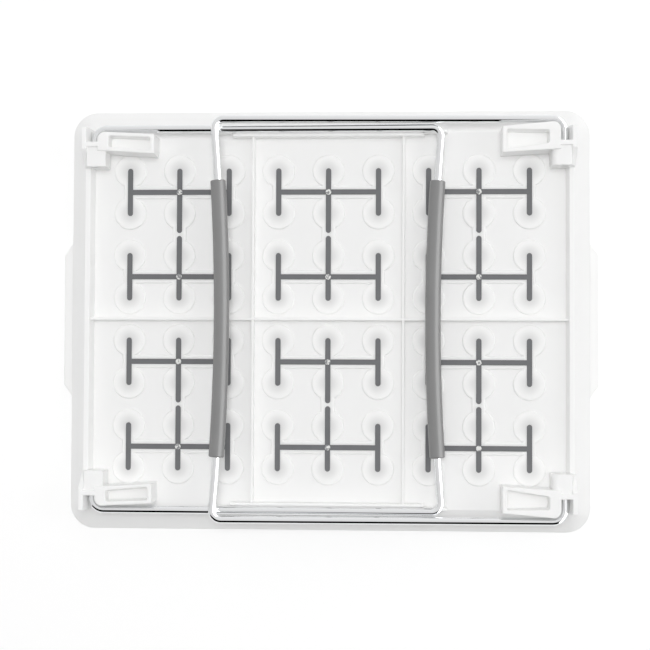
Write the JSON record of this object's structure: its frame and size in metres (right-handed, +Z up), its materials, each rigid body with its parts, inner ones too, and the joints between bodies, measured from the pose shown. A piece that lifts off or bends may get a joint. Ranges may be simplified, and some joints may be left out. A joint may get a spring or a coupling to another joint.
{
  "type": "bed tray with folding legs",
  "caption": "Moulded bed tray lying face down, with a recessed eating face, hand ears, non-slip inserts and two folding wire legs with soft foot grips, shown folded flat.",
  "frame": {"origin": "centre of the lip's rest plane, with the tray lying face down on its lip", "axes": "+X along the tray's length towards the upper leg's pivots, +Y across it, +Z up out of the underside"},
  "size_m": [0.4142, 0.3242, 0.0419],
  "materials": {
    "white_plastic": "moulded polypropylene, satin",
    "chromed_wire": "bright chrome plate on steel wire",
    "grey_grip": "smooth soft vinyl tube, dull",
    "grey_insert_rubber": "over-moulded thermoplastic rubber, dull"
  },
  "bodies": {
    "tray": {"tray_shell": "white_plastic", "non_slip_insert_01": "grey_insert_rubber", "non_slip_insert_02": "grey_insert_rubber", "non_slip_insert_03": "grey_insert_rubber", "non_slip_insert_04": "grey_insert_rubber", "non_slip_insert_05": "grey_insert_rubber", "non_slip_insert_06": "grey_insert_rubber", "non_slip_insert_07": "grey_insert_rubber", "non_slip_insert_08": "grey_insert_rubber", "non_slip_insert_09": "grey_insert_rubber", "non_slip_insert_10": "grey_insert_rubber", "non_slip_insert_11": "grey_insert_rubber", "non_slip_insert_12": "grey_insert_rubber"},
    "upper_leg": {"upper_leg_wire": "chromed_wire", "upper_leg_grip": "grey_grip"},
    "lower_leg": {"lower_leg_wire": "chromed_wire", "lower_leg_grip": "grey_grip"}
  },
  "joints": [
    {"name": "upper_leg_hinge", "type": "hinge", "parent": "tray", "child": "upper_leg", "pos_m": [0.1781, 0, 0.0292], "axis": [0, 1, 0], "range_deg": [0, 100]},
    {"name": "lower_leg_hinge", "type": "hinge", "parent": "tray", "child": "lower_leg", "pos_m": [-0.1781, 0, 0.0292], "axis": [0, -1, 0], "range_deg": [0, 93]}
  ],
  "couplings": [
    {"joint": "lower_leg_hinge", "follows": "upper_leg_hinge", "ratio": 0.93}
  ]
}
